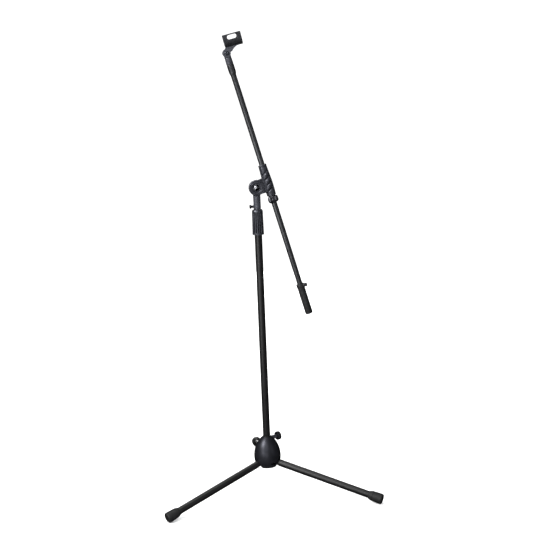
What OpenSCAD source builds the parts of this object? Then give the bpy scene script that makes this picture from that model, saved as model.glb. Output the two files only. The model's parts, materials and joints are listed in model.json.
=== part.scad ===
// Boom microphone stand: folding tripod base, telescopic mast, tilting boom and microphone clip.
// Origin: floor level on the mast axis. X right, Y away from the front, Z up. Millimetres.

/* [Mast] */
// Outside diameter of the lower mast tube
mast_d = 22; // [22:0.5:24]
// Outside diameter of the telescopic inner tube
inner_d = 19; // [18:0.2:19.4]
// Wall thickness of every tube
tube_wall = 1.2; // [1:0.1:1.2]
// Height of the clutch grip's lower edge
clutch_z = 788.5; // [700:1:900]
// Height of the boom pivot with the mast closed
pivot_z = 925; // [920:1:930]
// Length of the inner tube
inner_len = 690; // [400:10:690]

/* [Boom] */
// Outside diameter of the boom tube
boom_d = 16; // [15.5:0.1:16.5]
// Lean of the boom from the vertical, tip to the left
boom_tilt = 15.4; // [0:0.1:60]
// Distance from the pivot to the boom axis
boom_offset = 35.3; // [35:0.1:38]
// Boom tube's reach from the pivot towards the clip
boom_front = 345; // [300:1:450]
// Boom tube's reach from the pivot towards the weight
boom_back = 403; // [400:1:450]
// Radius of the tilt joint's front disc
disc_r = 23; // [22:0.5:24]

/* [Base] */
// Outside diameter of a leg tube
leg_d = 21; // [20:0.2:21.2]
// Slope of the open legs below the horizontal
leg_slope = 12.9; // [10:0.1:14]
// Distance from the mast axis to a foot's end
leg_reach = 363; // [320:1:420]
// Largest radius of the hub's bell
bell_r_max = 40.5; // [40:0.5:42]
// Radius of a rubber foot
foot_r = 15.5; // [14.5:0.1:16]

/* [Clip] */
// Inside radius of the clip's channel
clip_r = 15.8; // [14:0.1:16.5]
// Length of the clip's channel
clip_len = 50.5; // [45:0.5:55]
// Outside height of the clip's channel
clip_h = 36; // [33:0.5:38]
// Lean of the channel away from square to the boom
clip_lean = 2.5; // [0:0.5:10]

/* [Hidden] */
$fn = 64;

// Gaps: a bearing fit, and faces that pass each other freely
fit = 0.06;
gap = 0.3;
// How far a cut runs past the face it opens
past = 1;
// Solid end left on a large and a small knob
knob_cap = 3;
small_cap = 1;
knob_edge = 1.5;
paint = [0.10, 0.10, 0.11];
plastic = [0.20, 0.20, 0.22];
rubber = [0.07, 0.07, 0.07];
steel = [0.60, 0.61, 0.63];
brass = [0.78, 0.62, 0.32];

mast_r = mast_d / 2;
inner_r = inner_d / 2;
boom_r = boom_d / 2;
leg_r = leg_d / 2;

// Legs: azimuths, hinge pins and the run of a leg from its pin to its foot
az_left = -150;
az_right = -30;
az_rear = 90;
leg_azimuths = [az_left, az_right, az_rear];
knob_az = (az_right + az_rear) / 2;
pin_circle_r = 29;
pin_r = 3;
foot_flat = 1;
leg_len = (leg_reach - pin_circle_r) / cos(leg_slope);
foot_end_z = foot_r * cos(leg_slope) - foot_flat;
pin_z = foot_end_z + leg_len * sin(leg_slope);
ear_r = 8.6;
ear_t = 4;
tongue_t = 9.6;
ear_in = tongue_t / 2 + gap;
eye_r = 8;
leg_tube_start = 11;
leg_plug_len = 27;
foot_len = 42;
foot_mouth_r = 12.4;
foot_shoulder = 8;
foot_edge = 3;
foot_taper = 0.7;
foot_end_t = 4;
slot_r = leg_r + 0.7;

// Hub: heights of the carrier, the plate below it and the bell around it
carrier_z = pin_z - 9.6;
carrier_floor = 10.5;
carrier_top = pin_z + 27;
sleeve_r = 16;
plate_t = 4.5;
plate_r = 31.2;
screw_r = 3;
screw_head_r = 5.5;
screw_head_t = 2.5;
bell_bottom = pin_z - 11;
bell_wide = pin_z + 16.4;
bell_drop = 51;
bell_rise = 68;
bell_top = bell_wide + 0.9 * bell_rise;
bell_roof = bell_wide + 0.75 * bell_rise;
bell_wall = 2.6;
bell_power = 0.66;
bell_steps = 12;
pocket_az = -70;
pocket_z = pin_z + 0.8;
pocket_r = 3.6;
pocket_half = 3.4;
pocket_depth = 1.2;
bushing_r = mast_r + 1.4;
bushing_lip_r = mast_r + 1.9;
bushing_lip_t = 2.2;
bushing_len = 26;
hub_knob_z = bell_wide + 52.5;
hub_knob_r = 13.3;
hub_knob_at = 36;
hub_knob_t = 12;
hub_knob_neck_r = 5;
hub_notches = 18;
hub_notch_r = 1.6;
hub_boss_r = 6.5;
hub_boss_end = 27;
hub_screw_r = 4;

// Clutch: the plastic grip and what it squeezes
grip_len = 73.5;
grip_top_z = clutch_z + grip_len;
grip_rim_r = 17;
grip_low_r = 16.8;
grip_high_r = 15.7;
grip_rim_t = 3.5;
grip_shoulder = 5;
grip_turn = 3;
grip_turn_r = grip_high_r - 1.4;
flutes = 16;
flute_r = 1.7;
flute_at = 16.6;
clutch_body_r = mast_r + 2.2;
clutch_body_z = clutch_z + 1.5;
clutch_body_len = 46;
collet_len = 15;
collet_r = inner_r + 3;
collet_cone = 5;
collet_slit = 1.6;
collet_root = 3;
mast_top_z = clutch_z + 11.5;
mast_bottom_z = carrier_z + carrier_floor;

// Post that turns on the inner tube and carries the tilt joint
post_r = 10.7;
post_z = grip_top_z + gap;
post_top = pivot_z - disc_r - 1.2;
socket_top = post_top - 8;
inner_top = socket_top - 1;
inner_bottom = inner_top - inner_len;
bush_flange = 10;
bush_plug = 18;
ear_disc_r = 19.5;
ear_disc_t = 11;
disc_gap = 0.8;
washer_t = 0.5;
washer_r = 18;
disc_front = 12.8;
bolt_r = 4;
neck_knob_z = post_z + 7.8;
small_knob_r = 5.7;
small_knob_t = 4.6;
small_neck_r = 4;
small_notches = 10;
small_notch_r = 0.9;
small_screw_r = 2.5;
neck_knob_at = 17.6;

// Tilt joint's front half and the boom's sleeve
recess_r = 12.3;
recess_depth = 4.5;
bolt_head_r = 7.6;
bolt_head_h = 5;
bolt_dome_r = bolt_head_r * 1.35;
ring_r = 17.5;
ring_t = 1;
grip_front = 57.5;
grip_back = 35;
grip_front_r = 11.9;
grip_mid_r = 14.3;
grip_back_r = 13.2;
grip_bore_r = 10.2;
grip_edge = 1.3;
web_half = 20;
web_reach = 30;
rib_count = 4;
rib_pitch = 16.5;
rib_mid = 8.75;
rib_w = 2.2;
rib_depth = 1.6;
rib_lean = 27.5;
tilt_knob_y = ear_disc_t + gap;
tilt_knob_r = 15;
tilt_knob_t = 20;
tilt_lobes = 5;
tilt_lobe_r = 5.5;
tilt_lobe_at = 11.5;
tilt_neck = 4;
tilt_neck_r = 9;
nut_flats = 14;
nut_t = 8;
slit_end = 8;
lock_gap = 0.4;
lock_len = 22;
lock_r = 13;
lock_lobe_r = 7;
lock_lobe_at = 9.2;
lock_lobe_half = 3.2;
lock_lobes = [215, 335, 95];

// Boom's two ends
tip_start = 329;
tip_end = 353;
tip_r = 10.2;
tip_taper = 7;
stud_r = 7.9;
stud_len = 13;
cap_t = 3;
cap_plug = 12;
weight_start = -406;
weight_end = -312;
weight_r = 11.1;
weight_collar = 11.8;
weight_collar_r = 11.9;
weight_boss_r = 5.6;
weight_boss_end = 14;
weight_screw_turn = 25;
weight_knob_t = 5.5;

// Clip and its base
clip_pivot_s = 384.6;
clip_base_r = 10.3;
clip_base_top_r = 9.5;
clip_base_gap = 0.4;
clip_edge = 1.2;
lug_r = 10.5;
lug_half = 5.4;
cheek_in = lug_half + gap;
cheek_t = 4;
cheek_r = 11.5;
insert_len = 14;
insert_r = 9;
clip_screw_r = 2.5;
clip_head_r = 6.2;
clip_head_t = 2.2;
clip_socket_r = 2.4;
clip_nut_r = 5;
clip_nut_t = 3.2;
clip_wall = 2.2;
clip_outer_r = clip_r + clip_wall;
clip_floor = 13.6;
clip_start = 1;
window_len = 29.5;
window_h = 12;
window_drop = 9.4;
gusset_arc_r = 28;
gusset_arc_x = 40.5;
gusset_arc_z = -14;
gusset_right = 44;

// A straight pipe from z0 to z1
module pipe(r_out, r_in, z0, z1) {
    translate([0, 0, z0]) difference() {
        cylinder(r = r_out, h = z1 - z0);
        translate([0, 0, -past]) cylinder(r = r_in, h = z1 - z0 + 2 * past);
    }
}

// A knob with notches round its rim, standing on z = 0, its blind bore closed by a cap
module notched_knob(r, t, notches, notch_r, bore, cap) {
    difference() {
        union() {
            cylinder(r = r, h = t - knob_edge);
            translate([0, 0, t - knob_edge]) cylinder(r1 = r, r2 = r - knob_edge, h = knob_edge);
        }
        for (i = [0 : notches - 1]) rotate([0, 0, i * 360 / notches])
            translate([r + notch_r * 0.45, 0, -past]) cylinder(r = notch_r, h = t + 2 * past, $fn = 24);
        translate([0, 0, -past]) cylinder(r = bore, h = t - cap + past);
    }
}

// Places that the pieces share
module at_leg(az) {
    rotate([0, 0, az]) translate([pin_circle_r, 0, pin_z]) rotate([0, 90 + leg_slope, 0]) children();
}

module at_pivot() {
    translate([0, 0, pivot_z]) rotate([0, -boom_tilt, 0]) children();
}

module at_boom() {
    at_pivot() translate([boom_offset, 0, 0]) children();
}

module at_clip() {
    at_boom() translate([0, 0, clip_pivot_s]) rotate([0, clip_lean, 0]) children();
}

module at_hub_knob() {
    rotate([0, 0, knob_az]) translate([0, 0, hub_knob_z]) rotate([0, 90, 0]) children();
}

module at_weight_screw() {
    at_boom() translate([0, 0, weight_end - weight_collar / 2]) rotate([0, 0, -weight_screw_turn])
        rotate([0, 90, 0]) children();
}

// ---- Base and lower mast ----

module mast_tube() {
    color(paint) pipe(mast_r, mast_r - tube_wall, mast_bottom_z, mast_top_z);
}

module leg_ears() {
    for (side = [-1, 1]) translate([0, side * (ear_in + ear_t / 2), 0]) rotate([90, 0, 0])
        translate([0, 0, -ear_t / 2]) {
            translate([pin_circle_r, pin_z, 0]) cylinder(r = ear_r - 0.2, h = ear_t);
            translate([mast_r + 2, carrier_z, 0])
                cube([pin_circle_r - mast_r - 2, ear_r + pin_z - carrier_z, ear_t]);
        }
}

module leg_carrier() {
    color(plastic) difference() {
        union() {
            translate([0, 0, carrier_z]) cylinder(r = sleeve_r, h = carrier_top - carrier_z);
            for (az = leg_azimuths) rotate([0, 0, az]) leg_ears();
        }
        translate([0, 0, mast_bottom_z]) cylinder(r = mast_r, h = carrier_top);
        translate([0, 0, carrier_z - past]) cylinder(r = screw_r, h = carrier_floor + 2 * past);
        for (az = leg_azimuths) rotate([0, 0, az]) translate([pin_circle_r, 0, pin_z])
            rotate([90, 0, 0]) translate([0, 0, -sleeve_r]) cylinder(r = pin_r, h = 2 * sleeve_r);
    }
}

module leg_pins() {
    color(steel) for (az = leg_azimuths) rotate([0, 0, az]) translate([pin_circle_r, 0, pin_z])
        rotate([90, 0, 0]) translate([0, 0, -ear_in - ear_t]) cylinder(r = pin_r, h = 2 * (ear_in + ear_t));
}

module base_plate() {
    color(plastic) difference() {
        union() {
            translate([0, 0, carrier_z - plate_t + 1]) cylinder(r = plate_r, h = plate_t - 1);
            translate([0, 0, carrier_z - plate_t]) cylinder(r1 = plate_r - 1, r2 = plate_r, h = 1);
        }
        translate([0, 0, carrier_z - plate_t - past]) cylinder(r = screw_r, h = plate_t + 2 * past);
        for (az = leg_azimuths) rotate([0, 0, az]) translate([0, -slot_r, carrier_z - plate_t - past])
            translate([sleeve_r + 1.5, 0, 0]) cube([plate_r, 2 * slot_r, plate_t + 2 * past]);
    }
}

module base_screw() {
    color(steel) translate([0, 0, carrier_z - plate_t]) {
        cylinder(r = screw_r, h = plate_t + carrier_floor - past);
        difference() {
            translate([0, 0, -screw_head_t]) cylinder(r = screw_head_r, h = screw_head_t);
            translate([0, 0, -screw_head_t - past])
                cylinder(r = screw_r, h = past + screw_head_t / 2, $fn = 6);
        }
    }
}

// ---- Hub ----

// Outside radius of the bell at height z: an ellipse below its widest ring, a fuller dome above
function bell_radius(z) = z < bell_wide
    ? bell_r_max * sqrt(1 - pow((bell_wide - z) / bell_drop, 2))
    : bell_r_max * pow(1 - pow((z - bell_wide) / bell_rise, 2), bell_power);

// Points of the bell's outline, set in by a wall, from z0 up to its widest ring and on to z1
function bell_outline(z0, z1, inset) = [for (span = [[z0, bell_wide], [bell_wide, z1]])
    for (i = [1 : bell_steps]) let (z = span[0] + (span[1] - span[0]) * i / bell_steps)
        [bell_radius(z) - inset, z]];

// A shallow oval pocket in the bell's front
module bell_pocket() {
    floor_r = bell_radius(pocket_z) - pocket_depth;
    rotate([0, 0, pocket_az]) translate([floor_r, 0, pocket_z]) rotate([0, 90, 0]) {
        translate([-pocket_r, -pocket_half, 0]) cube([2 * pocket_r, 2 * pocket_half, bell_wall * 2]);
        for (side = [-1, 1]) translate([0, side * pocket_half, 0]) cylinder(r = pocket_r, h = bell_wall * 2);
    }
}

module hub_bell() {
    mouth_r = bell_radius(bell_bottom) - bell_wall;
    color(plastic) difference() {
        union() {
            rotate_extrude() polygon(concat([[0, bell_bottom], [bell_radius(bell_bottom), bell_bottom]],
                bell_outline(bell_bottom, bell_top, 0), [[0, bell_top]]));
            at_hub_knob() cylinder(r = hub_boss_r, h = hub_boss_end);
        }
        rotate_extrude() polygon(concat([[0, bell_bottom - past], [mouth_r, bell_bottom - past]],
            bell_outline(bell_bottom, bell_roof, bell_wall), [[0, bell_roof]]));
        translate([0, 0, bell_roof - past]) cylinder(r = bushing_r, h = bell_top);
        at_hub_knob() cylinder(r = hub_screw_r + fit, h = hub_boss_end + past);
        bell_pocket();
        for (az = leg_azimuths) {
            at_leg(az) cylinder(r = slot_r, h = bell_r_max);
            rotate([0, 0, az]) translate([pin_circle_r - 6, -slot_r, bell_bottom - past])
                cube([bell_r_max, 2 * slot_r, pin_z - bell_bottom]);
        }
    }
}

module hub_bushing() {
    color(plastic) difference() {
        union() {
            translate([0, 0, bell_top - bushing_len]) cylinder(r = bushing_r, h = bushing_len);
            translate([0, 0, bell_top]) cylinder(r = bushing_lip_r, h = bushing_lip_t);
        }
        translate([0, 0, bell_top - bushing_len - past])
            cylinder(r = mast_r + fit, h = bushing_len + 4 * past + bushing_lip_t);
        at_hub_knob() cylinder(r = hub_screw_r + gap, h = hub_boss_end);
    }
}

module hub_knob() {
    color(plastic) at_hub_knob() {
        translate([0, 0, hub_knob_at])
            notched_knob(hub_knob_r, hub_knob_t, hub_notches, hub_notch_r, hub_screw_r, knob_cap);
        pipe(hub_knob_neck_r, hub_screw_r, hub_boss_end + gap, hub_knob_at);
    }
}

module hub_knob_screw() {
    color(steel) at_hub_knob() translate([0, 0, mast_r + gap])
        cylinder(r = hub_screw_r, h = hub_knob_at + hub_knob_t - knob_cap - mast_r - gap);
}

// ---- Legs ----

module leg_fitting(az) {
    color(plastic) at_leg(az) difference() {
        union() {
            rotate([90, 0, 0]) translate([0, 0, -tongue_t / 2]) cylinder(r = eye_r, h = tongue_t);
            translate([-eye_r, -tongue_t / 2, 0]) cube([2 * eye_r, tongue_t, leg_tube_start]);
            translate([0, 0, leg_tube_start]) cylinder(r = leg_r - tube_wall, h = leg_plug_len);
        }
        rotate([90, 0, 0]) translate([0, 0, -tongue_t]) cylinder(r = pin_r + fit, h = 2 * tongue_t);
    }
}

module leg_tube(az) {
    color(paint) at_leg(az) pipe(leg_r, leg_r - tube_wall, leg_tube_start, leg_len - foot_end_t);
}

module foot(az) {
    color(rubber) difference() {
        at_leg(az) translate([0, 0, leg_len - foot_len]) difference() {
            rotate_extrude() polygon([[0, 0], [foot_mouth_r - 1, 0], [foot_mouth_r, 1],
                [foot_r - foot_taper, foot_shoulder], [foot_r, foot_len - foot_edge],
                [foot_r - foot_edge * 0.3, foot_len - foot_edge * 0.3], [foot_r - foot_edge, foot_len],
                [0, foot_len]]);
            translate([0, 0, -past]) cylinder(r = leg_r, h = foot_len - foot_end_t + past);
        }
        rotate([0, 0, az]) translate([leg_reach - foot_len * 2, -foot_r * 2, -foot_r * 2])
            cube([foot_len * 3, foot_r * 4, foot_r * 2]);
    }
}

// ---- Mast clutch and inner tube ----

module clutch_body() {
    color(plastic) difference() {
        translate([0, 0, clutch_body_z]) cylinder(r = clutch_body_r, h = clutch_body_len);
        translate([0, 0, clutch_body_z - past]) cylinder(r = mast_r, h = mast_top_z - clutch_body_z + past);
        translate([0, 0, clutch_body_z]) cylinder(r = inner_r + gap, h = clutch_body_len + past);
    }
}

module clutch_collet() {
    collet_z = clutch_body_z + clutch_body_len;
    color(plastic) difference() {
        translate([0, 0, collet_z]) {
            cylinder(r = collet_r, h = collet_len - collet_cone);
            translate([0, 0, collet_len - collet_cone])
                cylinder(r1 = collet_r, r2 = inner_r + 1.2, h = collet_cone);
        }
        translate([0, 0, collet_z - past]) cylinder(r = inner_r + fit, h = collet_len + 2 * past);
        for (i = [0 : 2]) rotate([0, 0, 60 * i])
            translate([-collet_r - past, -collet_slit / 2, collet_z + collet_root])
                cube([2 * collet_r + 2 * past, collet_slit, collet_len]);
    }
}

module clutch_grip() {
    cone_z = clutch_body_z + clutch_body_len + collet_len - collet_cone + gap;
    color(plastic) translate([0, 0, clutch_z]) difference() {
        union() {
            cylinder(r = grip_rim_r, h = grip_rim_t);
            translate([0, 0, grip_rim_t]) cylinder(r1 = grip_low_r, r2 = grip_high_r,
                h = grip_len - grip_rim_t - grip_shoulder);
            translate([0, 0, grip_len - grip_shoulder])
                cylinder(r1 = grip_high_r, r2 = grip_turn_r, h = grip_turn);
            translate([0, 0, grip_len - grip_shoulder + grip_turn])
                cylinder(r1 = grip_turn_r, r2 = grip_high_r - 3.6, h = grip_shoulder - grip_turn);
        }
        for (i = [0 : flutes - 1]) rotate([0, 0, i * 360 / flutes])
            translate([flute_at, 0, grip_rim_t + 2])
                cylinder(r = flute_r, h = grip_len - grip_rim_t - grip_shoulder - grip_turn, $fn = 24);
        translate([0, 0, -past]) cylinder(r = clutch_body_r + fit, h = cone_z - clutch_z + past);
        translate([0, 0, cone_z - clutch_z])
            cylinder(r1 = clutch_body_r + fit, r2 = inner_r + 2.2, h = collet_cone + 0.5);
        translate([0, 0, -past]) cylinder(r = inner_r + gap + fit, h = grip_len + 2 * past);
    }
}

module inner_tube() {
    color(paint) pipe(inner_r, inner_r - tube_wall, inner_bottom, inner_top);
}

module inner_tube_bush() {
    color(plastic) translate([0, 0, inner_bottom - bush_flange]) {
        cylinder(r = mast_r - tube_wall - fit, h = bush_flange);
        cylinder(r = inner_r - tube_wall, h = bush_flange + bush_plug);
    }
}

// ---- Post and neck screw ----

module holder_post() {
    color(plastic) difference() {
        union() {
            translate([0, 0, post_z]) cylinder(r = post_r, h = post_top - post_z);
            intersection() {
                translate([0, 0, post_top - 6]) cylinder(r = post_r, h = pivot_z - post_top + 6);
                translate([-post_r, 0, post_top - 6]) cube([2 * post_r, post_r, pivot_z - post_top + 6]);
            }
            translate([0, 0, pivot_z]) rotate([-90, 0, 0]) cylinder(r = ear_disc_r, h = ear_disc_t);
            translate([0, 0, neck_knob_z]) rotate([0, -90, 0]) cylinder(r = small_neck_r, h = post_r + 1);
        }
        translate([0, 0, post_z - past]) cylinder(r = inner_r + fit, h = socket_top - post_z + past);
        translate([0, -past, pivot_z]) rotate([-90, 0, 0])
            cylinder(r = bolt_r + fit, h = ear_disc_t + 2 * past);
        translate([0, 0, neck_knob_z]) rotate([0, -90, 0]) cylinder(r = small_screw_r + fit, h = 2 * post_r);
    }
}

module neck_knob() {
    color(plastic) translate([0, 0, neck_knob_z]) rotate([0, -90, 0]) {
        translate([0, 0, neck_knob_at])
            notched_knob(small_knob_r, small_knob_t, small_notches, small_notch_r, small_screw_r, small_cap);
        pipe(small_neck_r - 0.4, small_screw_r, post_r + 1 + gap, neck_knob_at);
    }
}

module neck_screw() {
    color(steel) translate([0, 0, neck_knob_z]) rotate([0, -90, 0]) translate([0, 0, inner_r + gap])
        cylinder(r = small_screw_r, h = neck_knob_at + small_knob_t - small_cap - inner_r - gap);
}

// ---- Tilt joint and boom sleeve ----

// Slanted grooves across the front and the back of the sleeve
module sleeve_ribs() {
    for (i = [0 : rib_count - 1]) for (side = [-1, 1])
        translate([boom_offset, 0, rib_mid + (i - rib_count / 2 + 0.5) * rib_pitch])
            rotate([0, side * rib_lean, 0])
            translate([-grip_mid_r, side * (grip_mid_r - rib_depth), -rib_w / 2])
                translate([0, side < 0 ? -grip_mid_r : 0, 0]) cube([2 * grip_mid_r, grip_mid_r, rib_w]);
}

module boom_grip() {
    color(plastic) at_pivot() difference() {
        union() {
            translate([0, -disc_gap, 0]) rotate([90, 0, 0])
                cylinder(r = disc_r, h = disc_front - disc_gap - ring_t);
            translate([0, -disc_front + ring_t, 0]) rotate([90, 0, 0]) cylinder(r = ring_r, h = ring_t);
            translate([0, -disc_front + ring_t, -web_half])
                cube([web_reach, disc_front - disc_gap - ring_t, 2 * web_half]);
            translate([boom_offset, 0, 0]) rotate_extrude() polygon([[0, -grip_back],
                [grip_back_r - grip_edge, -grip_back], [grip_back_r, -grip_back + grip_edge],
                [grip_mid_r, -grip_back * 0.3], [grip_mid_r, grip_front * 0.1],
                [grip_front_r + 0.4, grip_front * 0.75], [grip_front_r, grip_front - grip_edge],
                [grip_front_r - grip_edge, grip_front], [0, grip_front]]);
        }
        translate([boom_offset, 0, -grip_back - past])
            cylinder(r = grip_bore_r, h = grip_back + grip_front + 2 * past);
        translate([0, past, 0]) rotate([90, 0, 0]) cylinder(r = bolt_r, h = disc_front + 2 * past);
        translate([0, -disc_front + recess_depth, 0]) rotate([90, 0, 0])
            cylinder(r = recess_r, h = recess_depth + past);
        sleeve_ribs();
    }
}

module friction_washer() {
    color(rubber) at_pivot() translate([0, -disc_gap + washer_t, 0]) rotate([90, 0, 0]) difference() {
        cylinder(r = washer_r, h = washer_t);
        translate([0, 0, -past]) cylinder(r = bolt_r, h = washer_t + 2 * past);
    }
}

module pivot_bolt() {
    color(steel) at_pivot() {
        translate([0, -disc_front + recess_depth, 0]) rotate([-90, 0, 0])
            cylinder(r = bolt_r, h = disc_front - recess_depth + tilt_knob_y + tilt_knob_t - knob_cap);
        translate([0, -disc_front + recess_depth, 0]) rotate([90, 0, 0]) intersection() {
            cylinder(r = bolt_head_r, h = bolt_head_h);
            translate([0, 0, bolt_head_h - bolt_dome_r]) sphere(r = bolt_dome_r);
        }
    }
}

module boom_collet() {
    color(plastic) at_boom() difference() {
        translate([0, 0, -grip_back]) cylinder(r = grip_bore_r, h = grip_back + grip_front);
        translate([0, 0, -grip_back - past])
            cylinder(r = boom_r + fit, h = grip_back + grip_front + 2 * past);
        translate([-collet_slit / 2, 0, -grip_back - past])
            cube([collet_slit, 2 * grip_bore_r, grip_back + grip_front - slit_end]);
    }
}

module tilt_knob() {
    color(plastic) translate([0, tilt_knob_y, pivot_z]) rotate([-90, 0, 0]) difference() {
        union() {
            cylinder(r = tilt_neck_r, h = tilt_neck + 1);
            translate([0, 0, tilt_neck]) {
                cylinder(r = tilt_knob_r - 2, h = tilt_knob_t - tilt_neck);
                for (i = [0 : tilt_lobes - 1]) rotate([0, 0, i * 360 / tilt_lobes])
                    translate([tilt_lobe_at, 0, 0])
                        cylinder(r = tilt_lobe_r, h = tilt_knob_t - tilt_neck - 1);
            }
        }
        translate([0, 0, -past]) cylinder(r = nut_flats / 2, h = nut_t + past, $fn = 6);
        translate([0, 0, -past]) cylinder(r = bolt_r + gap, h = tilt_knob_t - knob_cap / 2 + past);
    }
}

module tilt_nut() {
    color(brass) translate([0, tilt_knob_y, pivot_z]) rotate([-90, 0, 0]) difference() {
        cylinder(r = nut_flats / 2, h = nut_t, $fn = 6);
        translate([0, 0, -past]) cylinder(r = bolt_r + fit, h = nut_t + 2 * past);
    }
}

module boom_lock_knob() {
    color(plastic) at_boom() translate([0, 0, -grip_back - lock_gap - lock_len]) difference() {
        union() {
            rotate_extrude() polygon([[0, 0], [lock_r - 3.5, 0], [lock_r - 1.2, 2],
                [lock_r, lock_len * 0.4], [lock_r, lock_len * 0.6], [lock_r - 1.2, lock_len - 2],
                [lock_r - 2.5, lock_len], [0, lock_len]]);
            for (a = lock_lobes) rotate([0, 0, a]) translate([lock_lobe_at, 0, lock_len / 2]) {
                translate([0, 0, -lock_lobe_half]) cylinder(r = lock_lobe_r, h = 2 * lock_lobe_half);
                for (end = [-1, 1]) translate([0, 0, end * lock_lobe_half]) sphere(r = lock_lobe_r);
            }
        }
        translate([0, 0, -past]) cylinder(r = boom_r + gap, h = lock_len + 2 * past);
    }
}

// ---- Boom ----

module boom_tube() {
    color(paint) at_boom() pipe(boom_r, boom_r - tube_wall, -boom_back, boom_front);
}

module boom_tip() {
    color(paint) at_boom() difference() {
        union() {
            translate([0, 0, tip_start - tip_taper]) cylinder(r1 = boom_r + 0.4, r2 = tip_r, h = tip_taper);
            translate([0, 0, tip_start]) cylinder(r = tip_r, h = tip_end - tip_start);
            translate([0, 0, tip_end]) cylinder(r = stud_r, h = stud_len);
        }
        translate([0, 0, tip_start - tip_taper - past])
            cylinder(r = boom_r, h = boom_front - tip_start + tip_taper + past);
    }
}

module boom_end_cap() {
    color(plastic) at_boom() {
        translate([0, 0, -boom_back - cap_t + 1]) cylinder(r = boom_r, h = cap_t - 1);
        translate([0, 0, -boom_back]) cylinder(r = boom_r - tube_wall, h = cap_plug);
    }
}

// ---- Counterweight ----

module counterweight() {
    color(paint) difference() {
        union() {
            at_boom() translate([0, 0, weight_start]) {
                cylinder(r1 = weight_r - 1, r2 = weight_r, h = 1);
                translate([0, 0, 1])
                    cylinder(r = weight_r, h = weight_end - weight_start - weight_collar - 1);
            }
            at_boom() translate([0, 0, weight_end - weight_collar])
                cylinder(r = weight_collar_r, h = weight_collar);
            at_weight_screw() cylinder(r = weight_boss_r, h = weight_boss_end);
        }
        at_boom() translate([0, 0, weight_start - past])
            cylinder(r = boom_r + fit, h = weight_end - weight_start + 2 * past);
        at_weight_screw() cylinder(r = small_screw_r + fit, h = weight_boss_end + past);
    }
}

module weight_knob() {
    color(plastic) at_weight_screw() translate([0, 0, weight_boss_end + gap])
        notched_knob(small_knob_r, weight_knob_t, small_notches, small_notch_r, small_screw_r, small_cap);
}

module weight_screw() {
    color(steel) at_weight_screw() translate([0, 0, boom_r + gap])
        cylinder(r = small_screw_r, h = weight_boss_end + weight_knob_t - small_cap - boom_r);
}

// ---- Clip ----

module clip_base() {
    base_z = tip_end + clip_base_gap;
    shoulder_z = clip_pivot_s - cheek_r - 1;
    color(plastic) at_boom() difference() {
        union() {
            translate([0, 0, base_z])
                cylinder(r1 = clip_base_r - clip_edge, r2 = clip_base_r, h = clip_edge);
            translate([0, 0, base_z + clip_edge])
                cylinder(r1 = clip_base_r, r2 = clip_base_top_r, h = shoulder_z - base_z - clip_edge);
            translate([-clip_base_top_r, -lug_half, shoulder_z - 1])
                cube([2 * clip_base_top_r, 2 * lug_half, cheek_r + 2]);
            translate([0, lug_half, clip_pivot_s]) rotate([90, 0, 0]) cylinder(r = lug_r, h = 2 * lug_half);
        }
        translate([0, 0, base_z - past]) cylinder(r = insert_r, h = insert_len + past);
        translate([0, 2 * lug_half, clip_pivot_s]) rotate([90, 0, 0])
            cylinder(r = clip_screw_r, h = 4 * lug_half);
    }
}

module clip_insert() {
    base_z = tip_end + clip_base_gap;
    color(brass) at_boom() pipe(insert_r, stud_r + fit, base_z, base_z + insert_len);
}

module clip_screw() {
    color(steel) at_clip() rotate([90, 0, 0]) {
        translate([0, 0, -cheek_in - cheek_t - 2])
            cylinder(r = clip_screw_r, h = 2 * (cheek_in + cheek_t) + 2 + gap);
        difference() {
            translate([0, 0, cheek_in + cheek_t + gap]) cylinder(r = clip_head_r, h = clip_head_t);
            translate([0, 0, cheek_in + cheek_t + clip_head_t]) cylinder(r = clip_socket_r, h = 2, $fn = 6);
        }
    }
}

module clip_nut() {
    color(steel) at_clip() rotate([-90, 0, 0]) translate([0, 0, cheek_in + cheek_t + gap]) difference() {
        cylinder(r = clip_nut_r, h = clip_nut_t, $fn = 6);
        translate([0, 0, -past]) cylinder(r = clip_screw_r, h = clip_nut_t + 2 * past);
    }
}

// Side outline of the clip's two cheeks: an eye, an arm and a scooped underside
module cheek_outline() {
    difference() {
        union() {
            circle(r = cheek_r);
            polygon([[-cheek_r, 0], [cheek_r, 0], [gusset_right, clip_floor + 2],
                [clip_start + 1, clip_floor + 2]]);
        }
        translate([gusset_arc_x, gusset_arc_z]) circle(r = gusset_arc_r);
    }
}

module mic_clip() {
    axis_z = clip_floor + clip_outer_r;
    top_z = clip_floor + clip_h;
    color(plastic) at_clip() difference() {
        union() {
            for (side = [-1, 1]) translate([0, side * (cheek_in + cheek_t / 2), 0]) rotate([90, 0, 0])
                translate([0, 0, -cheek_t / 2]) linear_extrude(cheek_t) cheek_outline();
            translate([clip_start, 0, axis_z]) rotate([0, 90, 0]) cylinder(r = clip_outer_r, h = clip_len);
            translate([clip_start, -clip_outer_r, axis_z]) cube([clip_len, 2 * clip_outer_r, top_z - axis_z]);
        }
        translate([clip_start - past, 0, axis_z]) rotate([0, 90, 0])
            cylinder(r = clip_r, h = clip_len + 2 * past);
        translate([clip_start - past, -clip_r, axis_z]) cube([clip_len + 2 * past, 2 * clip_r, clip_h]);
        translate([clip_start + clip_len / 2, 0, top_z - window_drop]) rotate([90, 0, 0])
            translate([0, 0, -clip_outer_r - past]) linear_extrude(2 * clip_outer_r + 2 * past) {
                square([window_len - window_h, window_h], center = true);
                for (end = [-1, 1]) translate([end * (window_len - window_h) / 2, 0]) circle(d = window_h);
            }
        translate([0, clip_outer_r, 0]) rotate([90, 0, 0])
            cylinder(r = clip_screw_r + fit, h = 2 * clip_outer_r);
    }
}

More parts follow.
